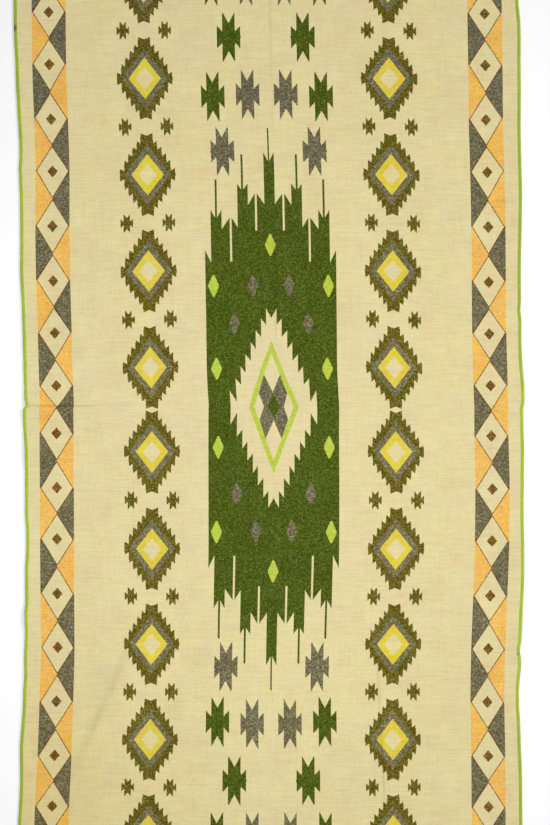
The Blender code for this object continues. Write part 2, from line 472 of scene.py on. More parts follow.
def woven_place(x, y):
    """Where a place on the blanket is in the pattern, in metres across and along from its
    middle, with the cloth's wander taken out."""
    left, axis, right = (reading(COURSES, y, name) for name in ("left", "axis", "right"))
    if x < axis:
        across = -BORDER_OUT * (axis - x) / (axis - left)
        side, tip = (reading(table, y, "left") for table in (BORDER_CREEPS, TIP_CREEPS))
    else:
        across = BORDER_OUT * (x - axis) / (right - axis)
        side, tip = (reading(table, y, "right") for table in (BORDER_CREEPS, TIP_CREEPS))
    column, middle = reading(CREEPS, y, "column"), reading(CREEPS, y, "axis")
    out = abs(across)
    if out < COLUMN_OUT:
        creep = middle + (column - middle) * out / COLUMN_OUT
    else:
        share = min((out - COLUMN_OUT) / (BORDER_OUT - COLUMN_OUT), 1.0)
        creep = column + (side - column) * share
        creep += tip * min(max(out - BORDER_OUT, 0.0) / TIP_OUT, PAST_TIP)
    return across, y + creep


def bell(w):
    """One at nought, falling smoothly to nought at one."""
    return cos(0.5 * pi * min(abs(w), 1.0)) ** 2


def fold_height(fold, x, y):
    """How high one fold lifts the cloth at a place."""
    along = Vector((fold.x1 - fold.x0, fold.y1 - fold.y0))
    there = Vector((x - fold.x0, y - fold.y0))
    share = there.dot(along) / along.length_squared
    if not 0.0 < share < 1.0:
        return 0.0
    side = along.cross(there) / along.length
    if fold.kind == "ridge":
        across = bell(side / (fold.left if side > 0.0 else fold.right))
    elif abs(side) < fold.left:
        across = sin(0.5 * pi * abs(side) / fold.left)
    else:
        across = bell((abs(side) - fold.left) / fold.right)
    return fold.height * sin(pi * share) * across


def folds_at(x, y):
    """The height of all folds, which inside the edging is level across its width."""
    end = HALF_LENGTH - EDGING_INSIDE
    y = max(min(y, end), -end)
    x = max(x, reading(SECTIONS, y, "left") + EDGING_INSIDE)
    x = min(x, reading(SECTIONS, y, "right") - EDGING_INSIDE)
    return sum(fold_height(fold, x, y) for fold in FOLDS)


def underside(x, y):
    """The height of the cloth's underside: its folds, and its rise into the edging."""
    inward = min(
        x - reading(SECTIONS, y, "left"), reading(SECTIONS, y, "right") - x,
        HALF_LENGTH - abs(y))
    share = min(max((inward - EDGING_INSIDE) / (TOUCH_DOWN - EDGING_INSIDE), 0.0), 1.0)
    return folds_at(x, y) + EDGE_RISE * bell(share)


def pinch_at(x, y):
    """How far the hard storage fold presses the cloth's face in."""
    depth = 0.0
    for pinch in PINCHES:
        share = (x - pinch.x0) / (pinch.x1 - pinch.x0)
        if 0.0 < share < 1.0:
            across = max(1.0 - abs(y - CREASE_Y) / pinch.half_width, 0.0)
            depth += pinch.depth * across * sin(pi * share) ** 0.5
    return depth


# The cloth

def row_places(sizes):
    """The y of each row of the cloth's mesh, foot to head, closer along the storage fold."""
    near = CREASE_STEPS[-1] * MM
    flat = HALF_LENGTH - TOUCH_DOWN
    rows = {CREASE_Y} | {CREASE_Y + s * MM * d for s in CREASE_STEPS for d in (-1, 1)}
    for low, high in ((-flat, CREASE_Y - near), (CREASE_Y + near, flat)):
        count = round((high - low) / sizes.row_spacing)
        rows |= {low + (high - low) * i / count for i in range(count + 1)}
    for inset in (CUT_EDGE, EDGING_INSIDE, 0.5 * (EDGING_INSIDE + TOUCH_DOWN)):
        rows |= {HALF_LENGTH - inset, inset - HALF_LENGTH}
    return sorted({round(y, 6) for y in rows})


def column_places(sizes, y):
    """The x of each column of the cloth's mesh at height y, left to right, closer along the
    lengthwise lines."""
    left, right = reading(SECTIONS, y, "left"), reading(SECTIONS, y, "right")
    share = 0.5 + 0.5 * y / HALF_LENGTH
    lines = [line.foot + (line.head - line.foot) * share for line in LINES]
    places = [x + step * MM for x in lines for step in LINE_STEPS]
    starts = [left + TOUCH_DOWN] + [x + (LINE_STEPS[-1] + LINE_MARGIN) * MM for x in lines]
    ends = [x + (LINE_STEPS[0] - LINE_MARGIN) * MM for x in lines] + [right - TOUCH_DOWN]
    for start, end, width in zip(starts, ends, BLOCKS):
        count = round(width / sizes.column_spacing)
        places += [start + (end - start) * i / count for i in range(count + 1)]
    for inset in (CUT_EDGE, EDGING_INSIDE, 0.5 * (EDGING_INSIDE + TOUCH_DOWN)):
        places += [left + inset, right - inset]
    return sorted(places)


def woven_sheet(sizes):
    """The cloth as a closed sheet: its face, its underside and the cut edge between them."""
    rows = row_places(sizes)
    columns = [column_places(sizes, y) for y in rows]
    across, along = len(columns[0]) - 1, len(rows) - 1
    bm = bmesh.new()
    bmesh.ops.create_grid(bm, x_segments=across, y_segments=along, size=0.5)
    for vert in bm.verts:
        i = round((vert.co.x + 0.5) * across)
        j = round((vert.co.y + 0.5) * along)
        vert.co = (columns[j][i], rows[j], 0.0)
    face = {"verts": bm.verts[:], "edges": [e for e in bm.edges if e.is_boundary]}
    under = bmesh.ops.duplicate(bm, geom=bm.verts[:] + bm.edges[:] + bm.faces[:])["geom"]
    lower_faces = [g for g in under if isinstance(g, bmesh.types.BMFace)]
    lower_edges = [g for g in under if isinstance(g, bmesh.types.BMEdge) and g.is_boundary]
    for vert in face["verts"]:
        x, y = vert.co.xy
        vert.co.z = underside(x, y) + CLOTH_THICKNESS - pinch_at(x, y)
    for vert in [g for g in under if isinstance(g, bmesh.types.BMVert)]:
        vert.co.z = underside(vert.co.x, vert.co.y)
    bmesh.ops.reverse_faces(bm, faces=lower_faces)
    rim = bmesh.ops.bridge_loops(bm, edges=face["edges"] + lower_edges)["faces"]
    for one in lower_faces + rim:
        one.material_index = 1
    lay = bm.loops.layers.uv.new("ClothUV")
    places = {}
    for one in bm.faces:
        for corner in one.loops:
            spot = corner.vert.co.xy.to_tuple(6)
            if spot not in places:
                places[spot] = woven_place(*spot)
            corner[lay].uv = places[spot]
    return bm


# The weave

def distance(tree, place, centre):
    """How many threads a place is from a centre line."""
    away = add(tree, MATH, {0: place, 1: centre}, operation="SUBTRACT")
    return add(tree, MATH, {0: away}, operation="ABSOLUTE")


def repeated(tree, place, first, pitch):
    """How many threads a place is from the nearest of a run of centre lines."""
    start = add(tree, MATH, {0: place, 1: first - 0.5 * pitch}, operation="SUBTRACT")
    within = add(tree, MATH, {0: start, 1: pitch}, operation="MODULO")
    return distance(tree, within, 0.5 * pitch)


def toothed(tree, across, along, teeth):
    """Inside a toothed figure: nearer its middle row than its teeth reach. The chart has an
    entry for each thread, or for each part of one where the figure is narrow."""
    span = 256.0
    while teeth[-1].last + 2 < 0.5 * span:
        span *= 0.5
    top = float(max(max(tooth.low, tooth.high) for tooth in teeth))
    share = add(tree, MATH, {0: across, 1: span}, operation="DIVIDE")
    limit = add(tree, "ShaderNodeFloatCurve", {"Value": share})
    chart = limit.node.mapping
    chart.use_clip = True
    points = chart.curves[0].points
    points[0].location = (0.0, teeth[0].low / top)
    points[1].location = (1.0, 0.0)
    for tooth in teeth:
        if tooth.first:
            points.new((tooth.first - 0.4) / span, tooth.low / top)
        points.new((tooth.last + 0.4) / span, tooth.high / top)
    points.new((teeth[-1].last + 0.6) / span, 0.0)
    for point in points:
        point.handle_type = "VECTOR"
    chart.update()
    reach = add(tree, MATH, {0: limit, 1: top}, operation="MULTIPLY")
    return add(tree, MATH, {0: along, 1: reach}, operation="LESS_THAN")


def rhomb(tree, across, along, half_across, half_along):
    """Inside a rhomb of these half diagonals."""
    part = add(tree, MATH, {0: along, 1: half_along}, operation="DIVIDE")
    total = add(
        tree, MATH, {0: across, 1: 1.0 / half_across, 2: part}, operation="MULTIPLY_ADD")
    return add(tree, MATH, {0: total, 1: 1.0}, operation="LESS_THAN")


def either(tree, masks):
    """Inside any of the figures."""
    total = masks[0]
    for mask in masks[1:]:
        total = add(tree, MATH, {0: total, 1: mask}, operation="MAXIMUM")
    return total


def ringed(tree, across, along, ground, rings, dyes):
    """The ground, with rhombs on it, each inside the one before."""
    for ring in rings:
        inside = rhomb(tree, across, along, ring.across, ring.along)
        ground = woven_in(tree, ground, inside, getattr(dyes, ring.colour))
    return ground


def woven_in(tree, ground, mask, yarn):
    """The ground, with another yarn inside a figure."""
    yarn = yarn if isinstance(yarn, bpy.types.NodeSocket) else (*yarn, 1.0)
    return add(tree, MIX, {0: mask, 6: ground, 7: yarn}, 2, data_type="RGBA")


def weave_borders(tree, across, along, ground, dyes):
    """The two borders: rhombs with a spot, between triangles of two colours."""
    out = distance(tree, across, BORDER_LINE)
    turn = add(tree, MATH, {0: along, 1: RHOMB_PITCH}, operation="DIVIDE")
    up = add(tree, MATH, {0: turn}, operation="FRACT")
    up = distance(tree, up, 0.5)
    up = add(tree, MATH, {0: up, 1: RHOMB_PITCH}, operation="MULTIPLY")
    # Colours alternate from triangle to triangle, with one repeat after the fourth
    index = add(tree, MATH, {0: turn}, operation="ROUND")
    past = add(tree, MATH, {0: index, 1: TRIANGLES + 0.5}, operation="GREATER_THAN")
    inner = add(tree, MATH, {0: across, 1: BORDER_LINE}, operation="LESS_THAN")
    total = add(tree, MATH, {0: index, 1: past}, operation="ADD")
    total = add(tree, MATH, {0: total, 1: inner}, operation="ADD")
    odd = add(tree, MATH, {0: total, 1: 2.0}, operation="MODULO")
    band = add(tree, MATH, {0: out, 1: BORDER_HALF}, operation="LESS_THAN")
    rim = add(tree, MATH, {0: out, 1: BORDER_HALF - RIM}, operation="GREATER_THAN")
    rim = add(tree, MATH, {0: rim, 1: inner}, operation="MULTIPLY")
    rim = add(tree, MATH, {0: rim, 1: odd}, operation="MULTIPLY")
    pair = woven_in(tree, (*dyes.orange, 1.0), odd, dyes.grey)
    pair = woven_in(tree, pair, rim, dyes.outline)
    half = 0.5 * RHOMB_PITCH
    line = woven_in(tree, (*dyes.ochre, 1.0), odd, dyes.outline)
    pair = woven_in(tree, pair, rhomb(tree, out, up, RHOMB_ACROSS, half), line)
    inside = Ring("cream", RHOMB_ACROSS * RHOMB_INSIDE, half * RHOMB_INSIDE)
    pair = ringed(tree, out, up, pair, (inside, BORDER_SPOT), dyes)
    return woven_in(tree, ground, band, pair)


def weave_columns(tree, across, along, ground, dyes):
    """The two columns of serrated diamonds, with a pair of stars between each two."""
    out = distance(tree, across, COLUMN_LINE)
    up = repeated(tree, along, DIAMOND_FIRST, DIAMOND_PITCH)
    ground = woven_in(tree, ground, toothed(tree, out, up, DIAMOND), dyes.olive)
    ground = ringed(tree, out, up, ground, DIAMOND_RINGS, dyes)
    aside = distance(tree, out, STAR_OUT)
    up = repeated(tree, along, STAR_FIRST, STAR_PITCH)
    return woven_in(tree, ground, toothed(tree, aside, up, STAR), dyes.olive)


def weave_spots(tree, across, along, ground, spots, teeth, dyes):
    """Small figures of one form, each in its place and its colour."""
    for name in sorted({spot.colour for spot in spots}):
        ground = woven_in(tree, ground, either(tree, [
            toothed(
                tree, distance(tree, across, spot.across), distance(tree, along, spot.along),
                teeth)
            for spot in spots if spot.colour == name]), getattr(dyes, name))
    return ground


def weave_middle(tree, across, along, ground, dyes):
    """The medallion with its lozenges, the serrated middle, and the crosses beyond it."""
    ground = woven_in(tree, ground, toothed(tree, across, along, MEDALLION), dyes.green)
    ground = weave_spots(tree, across, along, ground, LOZENGES, LOZENGE, dyes)
    ground = woven_in(tree, ground, toothed(tree, across, along, MIDDLE), dyes.cream)
    ground = ringed(tree, across, along, ground, MIDDLE_RINGS, dyes)
    waist = add(tree, MATH, {0: along, 1: WAIST_SLOPE, 2: WAIST}, operation="MULTIPLY_ADD")
    waist = add(tree, MATH, {0: across, 1: waist}, operation="LESS_THAN")
    tie = add(
        tree, MATH, {0: toothed(tree, across, along, BOW_TIE), 1: waist}, operation="MULTIPLY")
    ground = woven_in(tree, ground, tie, dyes.grey)
    ground = ringed(tree, across, along, ground, (HEART,), dyes)
    return weave_spots(tree, across, along, ground, CROSSES, CROSS, dyes)


# Where the cloth's colour is changed over a wide place: darker and yellower at one corner,
# which is painted shade, less yellow in the middle, and a little lighter below the medallion
CastAndShadePlace = namedtuple("CastAndShadePlace", "centre reach cast")
CASTS_AND_PAINTED_SHADE = (
    # Painted shade: the lower left corner is darker and yellower, as the light falls off there
    CastAndShadePlace((-0.62, -1.04, 0.0), 0.50, (0.95, 0.92, 0.81)),
    CastAndShadePlace((-0.10, -0.05, 0.0), 0.55, (1.00, 1.00, 1.08)),
    CastAndShadePlace((0.08, -0.68, 0.0), 0.30, (1.03, 1.04, 1.03)),
)
UNCHANGED = (1.0, 1.0, 1.0, 1.0)


def woven_alpaca(name, sizes, dyes, reverse=False):
    """Brushed alpaca cloth, woven double on a pattern loom: soft matt yarns that are heathered
    in the dark colours, faint streaks along the weft, and figures that step by whole threads."""
    material = blank(name)
    tree = material.node_tree
    place = add(tree, "ShaderNodeUVMap", uv_map="ClothUV")
    scale = 1.0 / sizes.thread
    threads = add(tree, VECTOR_MATH, {0: place, 1: (scale, scale, scale)}, operation="MULTIPLY")
    folded = add(tree, VECTOR_MATH, {0: threads}, operation="ABSOLUTE")
    folded = add(tree, VECTOR_MATH, {0: folded, 1: (0.5, 0.5, 0.5)}, operation="ADD")
    counted = add(tree, VECTOR_MATH, {0: folded}, operation="FLOOR")
    parts = add(tree, "ShaderNodeSeparateXYZ", {0: counted}).node.outputs
    across, along = parts[0], parts[1]
    colour = weave_borders(tree, across, along, (*dyes.cream, 1.0), dyes)
    colour = weave_columns(tree, across, along, colour, dyes)
    colour = weave_middle(tree, across, along, colour, dyes)
    if reverse:
        # On the back each figure changes places with its ground
        shade = add(tree, "ShaderNodeRGBToBW", {0: colour})
        pale = add(tree, MATH, {0: shade, 1: 0.55}, operation="GREATER_THAN")
        middle = add(tree, MATH, {0: across, 1: MIDDLE_ZONE}, operation="LESS_THAN")
        sides = add(tree, MATH, {0: across, 1: SIDE_ZONE}, operation="GREATER_THAN")
        partner = woven_in(tree, (*dyes.olive, 1.0), middle, dyes.green)
        partner = woven_in(tree, partner, sides, dyes.grey)
        colour = woven_in(tree, (*dyes.cream, 1.0), pale, partner)

    # Heather: the dark yarns are spun of dyed and of a little white wool. It changes every two
    # threads, 2.5 mm, and in flecks of up to 7 mm that still show at the blanket's full size.
    flecks = add(tree, VECTOR_MATH, {0: place, 1: (150.0, 190.0, 1.0)}, operation="MULTIPLY")
    fleck = add(tree, NOISE, {"Vector": flecks, "Scale": 1.0, "Detail": 3.0, "Roughness": 0.95})
    tint = fleck.node.outputs["Color"]
    fleck = add(
        tree, "ShaderNodeMapRange", {0: fleck, 1: 0.36, 2: 0.64, 3: -1.77, 4: -0.65})
    uneven = add(tree, NOISE, {"Vector": place, "Scale": 14.0, "Detail": 5.0, "Roughness": 0.9})
    uneven = add(
        tree, "ShaderNodeSeparateXYZ", {0: uneven.node.outputs["Color"]}).node.outputs
    fleck = add(tree, MATH, {0: uneven[2], 1: 1.0, 2: fleck}, operation="MULTIPLY_ADD")
    stitch = add(tree, VECTOR_MATH, {0: threads, 1: (0.5, 0.5, 0.5)}, operation="MULTIPLY")
    stitch = add(tree, VECTOR_MATH, {0: stitch}, operation="FLOOR")
    stitch = add(tree, "ShaderNodeTexWhiteNoise", {"Vector": stitch}, noise_dimensions="2D")
    fleck = add(tree, MATH, {0: stitch, 1: 1.32, 2: fleck}, operation="MULTIPLY_ADD")
    shade = add(tree, "ShaderNodeRGBToBW", {0: colour})
    amount = add(
        tree, "ShaderNodeMapRange", {0: shade, 1: 0.15, 2: 0.60, 3: 0.55, 4: 0.055})
    share = add(tree, "ShaderNodeMapRange", {0: shade, 1: 0.074, 2: 0.107, 3: 0.08, 4: 0.30})
    share = add(tree, MATH, {0: share, 1: amount}, operation="MULTIPLY")
    pale = add(tree, MATH, {0: fleck, 1: share}, operation="MULTIPLY", use_clamp=True)
    colour = woven_in(tree, colour, pale, dyes.white)
    tone = add(tree, MATH, {0: fleck, 1: amount, 2: 1.0}, operation="MULTIPLY_ADD")

    # Weft streaks, 4 mm wide and up to 7 cm long, with the odd darker pick, fainter streaks
    # along the warp, and a pile that lies unevenly over a hand's width
    weft = add(tree, VECTOR_MATH, {0: place, 1: (14.0, 260.0, 1.0)}, operation="MULTIPLY")
    weft = add(tree, NOISE, {
        "Vector": weft, "Scale": 1.0, "Detail": 2.0, "Roughness": 0.6, "Distortion": 0.35})
    warp = add(tree, VECTOR_MATH, {0: place, 1: (280.0, 9.0, 1.0)}, operation="MULTIPLY")
    warp = add(tree, NOISE, {
        "Vector": warp, "Scale": 1.0, "Detail": 1.0, "Roughness": 0.6, "Distortion": 0.35})
    pick = add(tree, "ShaderNodeMapRange", {0: weft, 1: 0.62, 2: 0.78, 3: 1.0, 4: 0.89})
    lie = add(tree, NOISE, {"Vector": place, "Scale": 7.0, "Detail": 3.0, "Roughness": 0.8})
    streak = add(tree, MATH, {0: weft, 1: 0.35, 2: 0.695}, operation="MULTIPLY_ADD")
    streak = add(tree, MATH, {0: warp, 1: 0.12, 2: streak}, operation="MULTIPLY_ADD")
    streak = add(tree, MATH, {0: lie, 1: 0.14, 2: streak}, operation="MULTIPLY_ADD")
    streak = add(tree, MATH, {0: streak, 1: pick}, operation="MULTIPLY")
    tone = add(tree, MATH, {0: tone, 1: streak}, operation="MULTIPLY")

    # Undyed wool drifts between a pinker, a greener and a yellower cream, over a hand's width
    # across the cloth and nearly twice that along the warp
    drift = add(tree, VECTOR_MATH, {0: place, 1: (9.0, 5.0, 1.0)}, operation="MULTIPLY")
    drift = add(
        tree, NOISE, {"Vector": drift, "Scale": 1.0, "Detail": 4.0, "Roughness": 0.8}, "Color")
    cast = add(
        tree, VECTOR_MATH, {0: drift, 1: (0.13, 0.0, 0.16), 2: (0.935, 1.0, 0.92)},
        operation="MULTIPLY_ADD")
    colour = add(tree, VECTOR_MATH, {0: colour, 1: cast}, operation="MULTIPLY")
    tint = add(tree, VECTOR_MATH, {0: tint, 1: (0.5, 0.5, 0.5)}, operation="SUBTRACT")
    tint = add(tree, VECTOR_MATH, {0: tint, "Scale": amount}, operation="SCALE")
    tint = add(tree, VECTOR_MATH, {0: tint, 1: (1.0, 1.0, 1.0)}, operation="ADD")
    colour = add(tree, VECTOR_MATH, {0: colour, 1: tint}, operation="MULTIPLY")
    # Towards the head the heathered greys are darker and cooler
    up = add(tree, "ShaderNodeSeparateXYZ", {0: place}).node.outputs[1]
    cooler = add(tree, "ShaderNodeMapRange", {0: up, 1: 0.1, 2: 1.0, 3: 0.0, 4: 2.0})
    cooler = add(tree, MATH, {0: cooler, 1: share}, operation="MULTIPLY")
    cooler = add(tree, MATH, {0: cooler, 1: amount}, operation="MULTIPLY")
    cast = woven_in(tree, UNCHANGED, cooler, (0.17, 0.21, 0.89))
    colour = add(tree, VECTOR_MATH, {0: colour, 1: cast}, operation="MULTIPLY")
    # Colour changes at the listed places; at the lower left corner this is painted shade
    for spot in CASTS_AND_PAINTED_SHADE:
        away = add(tree, VECTOR_MATH, {0: place, 1: spot.centre}, 1, operation="DISTANCE")
        near = add(tree, "ShaderNodeMapRange", {0: away, 1: 0.0, 2: spot.reach, 3: 1.0, 4: 0.0})
        cast = woven_in(tree, UNCHANGED, near, spot.cast)
        colour = add(tree, VECTOR_MATH, {0: colour, 1: cast}, operation="MULTIPLY")
    # The dye takes unevenly, over 2 mm to 7 cm
    hue = add(tree, MATH, {0: uneven[0], 1: 0.084, 2: 0.458}, operation="MULTIPLY_ADD")
    depth = add(tree, MATH, {0: uneven[1], 1: 0.36, 2: 0.82}, operation="MULTIPLY_ADD")
    colour = add(
        tree, "ShaderNodeHueSaturation", {"Hue": hue, "Saturation": depth, "Color": colour})
    colour = add(tree, VECTOR_MATH, {0: colour, "Scale": tone}, operation="SCALE")

    # Relief: over and under by pairs of threads, 2.5 mm, under a brushed nap
    turns = add(tree, VECTOR_MATH, {0: threads, 1: (pi, pi, pi)}, operation="MULTIPLY")
    waves = add(tree, VECTOR_MATH, {0: turns}, operation="SINE")
    waves = add(tree, "ShaderNodeSeparateXYZ", {0: waves}).node.outputs
    relief = add(tree, MATH, {0: waves[0], 1: waves[1]}, operation="MULTIPLY")
    nap = add(tree, VECTOR_MATH, {0: place, 1: (500.0, 900.0, 1.0)}, operation="MULTIPLY")
    nap = add(tree, NOISE, {"Vector": nap, "Scale": 1.0, "Detail": 3.0, "Roughness": 0.7})
    relief = add(tree, MATH, {0: relief, 1: 0.30, 2: nap}, operation="MULTIPLY_ADD")
    bump = add(
        tree, "ShaderNodeBump", {"Height": relief, "Strength": 0.35, "Distance": 0.0005})
    rough = add(tree, "ShaderNodeMapRange", {0: nap, 1: 0.3, 2: 0.7, 3: 0.86, 4: 0.98})
    shader = add(tree, SHADER, {
        "Base Color": colour, "Roughness": rough, "Normal": bump, "IOR": 1.54,
        "Specular IOR Level": 0.15, "Sheen Weight": 0.02, "Sheen Roughness": 0.5,
        "Sheen Tint": (*dyes.cream, 1.0)})
    add(tree, "ShaderNodeOutputMaterial", {0: shader})
    return material


# The edging

Side = namedtuple("Side", "name column sign")
SIDES = (
    Side("edging_left", "left", 1.0),
    Side("edging_right", "right", -1.0),
    Side("edging_head", "head", -1.0),
    Side("edging_foot", "foot", 1.0),
)

# One turn of the overlock yarn: how far in from the outline and how high its middle runs, in
# millimetres, and the share of the pitch it has gone by then
Turn = namedtuple("Turn", "inward height share")
TURNS = (
    Turn(8.2, 3.50, 0.00),
    Turn(6.2, 3.85, 0.18),
    Turn(3.3, 3.82, 0.36),
    Turn(1.6, 3.40, 0.50),
    Turn(0.95, 2.35, 0.58),
    Turn(1.6, 1.30, 0.64),
    Turn(3.6, 0.96, 0.74),
    Turn(8.1, 1.20, 0.90),
)

# The needle yarn: how far in it runs, in millimetres, and its low and high points in a stitch
NEEDLE_LINE = 7.8
NEEDLE = ((0.1, 3.55), (0.6, 3.95))

# How unevenly it is sewn: the ends of the turns, in millimetres, their places, as a share of
# the pitch, and how much tighter the yarn is drawn, in millimetres, over a run of stitches
TURN_END = 0.35
TURN_SHIFT = 0.12
PULL = 0.8
PULL_RUN = 8
BED_STEP = 0.004

# Where the edging is dark: at the start of its stitching, where it is drawn tight, and a
# little along the upper right
DarkPlace = namedtuple("DarkPlace", "centre radius light")
DARK_PLACES = (
    DarkPlace((-0.6385, 0.9535, 0.003), 0.012, 0.35),
    DarkPlace((0.6240, -0.6105, 0.003), 0.0055, 0.70),
    DarkPlace((0.6300, 0.4500, 0.003), 0.42, 0.87),
)


def side_span(side):
    """Where a strip of edging starts and ends, along its own length."""
    if side.column in ("left", "right"):
        return -HALF_LENGTH + 0.5 * MM, HALF_LENGTH - 0.5 * MM
    y = HALF_LENGTH - CUT_EDGE
    y = y if side.column == "head" else -y
    return (reading(SECTIONS, y, "left") + EDGING_INSIDE,
            reading(SECTIONS, y, "right") - EDGING_INSIDE)


def edge_place(side, along, inward, height):
    """A point of the edging, from how far along its side it is, how far in and how high."""
    if side.column in ("left", "right"):
        x, y = reading(SECTIONS, round(along, 5), side.column), along
        return Vector((x + side.sign * inward, y, folds_at(x, round(y, 5)) + height))
    y = HALF_LENGTH if side.column == "head" else -HALF_LENGTH
    return Vector((along, y + side.sign * inward, folds_at(along, y) + height))


def yarn_tube(name, places, thickness, sides):
    """A yarn as a mesh: a tube on a line of points."""
    curve = bpy.data.curves.new(name, "CURVE")
    curve.dimensions = "3D"
    curve.bevel_depth = 0.5 * thickness
    curve.bevel_resolution = sides // 2 - 2
    curve.use_fill_caps = True
    spline = curve.splines.new("POLY")
    spline.points.add(len(places) - 1)
    spline.points.foreach_set("co", [c for place in places for c in (*place, 1.0)])
    draft = bpy.data.objects.new(name, curve)
    bpy.context.scene.collection.objects.link(draft)
    depsgraph = bpy.context.evaluated_depsgraph_get()
    mesh = bpy.data.meshes.new_from_object(draft.evaluated_get(depsgraph))
    bpy.data.objects.remove(draft)
    bpy.data.curves.remove(curve)
    return mesh


def bed_strip(bm, side):
    """The bed of looper yarn under the stitches, folded round the cut edge."""
    low, high = side_span(side)
    top = EDGING_HEIGHT
    profile = (
        (7.6, 0.9), (1.9, 0.7), (1.0, 1.2), (0.8, 0.5 * top / MM), (1.0, top / MM - 1.2),
        (1.9, top / MM - 0.7), (7.6, top / MM - 0.9), (7.6, top / MM - 1.5),
        (1.7, top / MM - 1.5), (1.7, 1.5), (7.6, 1.5))
    count = round((high - low) / BED_STEP)
    loops = []
    for k in range(count + 1):
        along = low + (high - low) * k / count
        verts = [bm.verts.new(edge_place(side, along, d * MM, h * MM)) for d, h in profile]
        loops.append([bm.edges.new((verts[i - 1], verts[i])) for i in range(len(verts))])
    for before, after in zip(loops, loops[1:]):
        bmesh.ops.bridge_loops(bm, edges=before + after)
    for end in (loops[0], loops[-1]):
        bmesh.ops.edgeloop_fill(bm, edges=end)
    bmesh.ops.recalc_face_normals(bm, faces=bm.faces)


def overlocked_strip(sizes, side):
    """One strip of edging: the turns of its yarn, the needle yarn that holds them, the bed."""
    chance = random.Random(side.name)
    low, high = side_span(side)
    count = round((high - low) / sizes.stitch_pitch)
    pitch = (high - low) / count
    pulls = [chance.uniform(0.0, PULL) * MM for _ in range(count // PULL_RUN + 2)]
    turns, needle = [], []
    for k in range(count):
        depth = chance.uniform(-TURN_END, TURN_END) * MM
        shift = chance.uniform(-TURN_SHIFT, TURN_SHIFT) * pitch
        run, past = divmod(k, PULL_RUN)
        pull = pulls[run] + (pulls[run + 1] - pulls[run]) * past / PULL_RUN
        for turn in TURNS:
            inner = depth if turn.inward > 8.0 else pull if turn.inward < 2.0 else 0.0
            along = low + (k + turn.share) * pitch + shift
            turns.append(edge_place(
                side, min(max(along, low), high), turn.inward * MM + inner, turn.height * MM))
        for share, height in NEEDLE:
            needle.append(edge_place(
                side, low + (k + share) * pitch, NEEDLE_LINE * MM + 0.5 * depth, height * MM))
    bm = bmesh.new()
    bed_strip(bm, side)
    bm.from_mesh(yarn_tube("turns", turns, sizes.yarn, 6))
    bm.from_mesh(yarn_tube("needle", needle, sizes.needle_yarn, 4))
    return bm


def spun_yarn(dyes):
    """Spun wool yarn, dyed lime and laid in close turns: matt and hairy, uneven in its dye,
    and paler along the middle of the blanket."""
    material = blank("spun_lime_yarn")
    tree = material.node_tree
    place = add(tree, "ShaderNodeTexCoord", out=3)
    # The dye's depth changes over 5 mm to 8 cm, and from turn to turn
    slow = add(tree, NOISE, {"Vector": place, "Scale": 12.0, "Detail": 4.0, "Roughness": 0.8})
    quick = add(tree, NOISE, {"Vector": place, "Scale": 420.0, "Detail": 2.0})
    tone = add(tree, MATH, {0: slow, 1: 0.50, 2: 0.45}, operation="MULTIPLY_ADD")
    tone = add(tree, MATH, {0: quick, 1: 0.60, 2: tone}, operation="MULTIPLY_ADD")
    # Paler along the middle of the blanket's length, darker towards head and foot
    out = add(tree, "ShaderNodeSeparateXYZ", {0: place}, 1)
    out = add(tree, MATH, {0: out}, operation="ABSOLUTE")
    paler = add(tree, "ShaderNodeMapRange", {0: out, 1: 0.55, 2: 0.95, 3: 1.07, 4: 0.93})
    tone = add(tree, MATH, {0: tone, 1: paler}, operation="MULTIPLY")
    # Darker at the listed places
    for dark in DARK_PLACES:
        away = add(tree, VECTOR_MATH, {0: place, 1: dark.centre}, 1, operation="DISTANCE")
        light = add(tree, "ShaderNodeMapRange", {
            0: away, 1: 0.5 * dark.radius, 2: dark.radius, 3: dark.light, 4: 1.0})
        tone = add(tree, MATH, {0: tone, 1: light}, operation="MULTIPLY")
    # Stray hairs stand out paler, in patches of 1 to 9 mm
    hairy = add(tree, NOISE, {"Vector": place, "Scale": 110.0, "Detail": 3.0, "Roughness": 0.8})
    hairy = add(tree, "ShaderNodeMapRange", {0: hairy, 1: 0.42, 2: 0.70, 3: 0.0, 4: 0.16})
    colour = woven_in(tree, (*dyes.edging, 1.0), hairy, dyes.cream)
    colour = add(tree, VECTOR_MATH, {0: colour, "Scale": tone}, operation="SCALE")
    # The lime is now yellower and now greener, over 2 mm to 7 cm
    cast = add(
        tree, NOISE, {"Vector": place, "Scale": 14.0, "Detail": 5.0, "Roughness": 0.85}, "Color")
    cast = add(
        tree, VECTOR_MATH, {0: cast, 1: (0.45, 0.0, 1.0), 2: (0.775, 1.0, 0.5)},
        operation="MULTIPLY_ADD")
    colour = add(tree, VECTOR_MATH, {0: colour, 1: cast}, operation="MULTIPLY")
    # Fibres are too fine to show, so they are drawn at 0.5 mm
    fibre = add(tree, NOISE, {"Vector": place, "Scale": 1800.0, "Detail": 2.0})
    bump = add(
        tree, "ShaderNodeBump", {"Height": fibre, "Strength": 0.4, "Distance": 0.0003})
    rough = add(tree, "ShaderNodeMapRange", {0: fibre, 1: 0.3, 2: 0.7, 3: 0.80, 4: 0.95})
    shader = add(tree, SHADER, {
        "Base Color": colour, "Roughness": rough, "Normal": bump, "IOR": 1.54,
        "Specular IOR Level": 0.15, "Sheen Weight": 0.05, "Sheen Roughness": 0.5,
        "Sheen Tint": (*dyes.edging, 1.0)})
    add(tree, "ShaderNodeOutputMaterial", {0: shader})
    return material


def finish_piece(name, bm, materials):
    """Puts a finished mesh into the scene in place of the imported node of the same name."""
    mesh = bpy.data.meshes.new(name)
    bm.to_mesh(mesh)
    bm.free()
    mesh.shade_smooth()
    mesh.set_sharp_from_angle(angle=0.9)
    for material in materials:
        mesh.materials.append(material)
    piece = bpy.data.objects.new(name + "_made", mesh)
    bpy.context.scene.collection.objects.link(piece)
    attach(piece, "root")
    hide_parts(name)
    return piece


